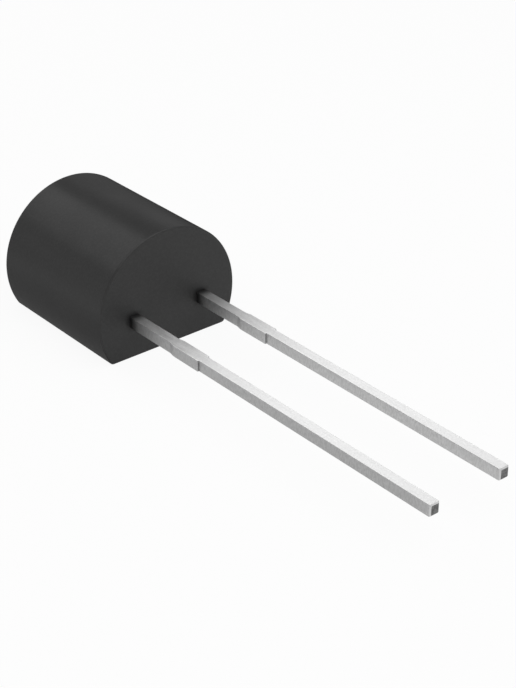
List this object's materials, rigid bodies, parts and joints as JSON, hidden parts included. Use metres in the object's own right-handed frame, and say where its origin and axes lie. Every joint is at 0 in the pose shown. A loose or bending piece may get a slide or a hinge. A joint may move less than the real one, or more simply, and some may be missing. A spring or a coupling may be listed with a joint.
{
  "type": "miniature fuse",
  "caption": "Miniature radial-lead fuse: a D-section moulded case with a round back and a flat, and long square leads side by side from its end.",
  "frame": {"origin": "middle of the part's footprint, on the plane of the case's flat", "axes": "+Z from the flat up to the round back; +Y from the lead tips towards the case; +X across the pair of leads"},
  "size_m": [0.005, 0.018, 0.0039],
  "materials": {
    "moulding": "black filled epoxy, satin from a polished mould",
    "lead_plating": "satin tin plating on stamped strip",
    "wire": "bright drawn wire"
  },
  "bodies": {
    "root": {"moulded_case": "moulding", "left_lead": "lead_plating", "right_lead": "lead_plating", "fuse_wire": "wire"}
  },
  "joints": []
}
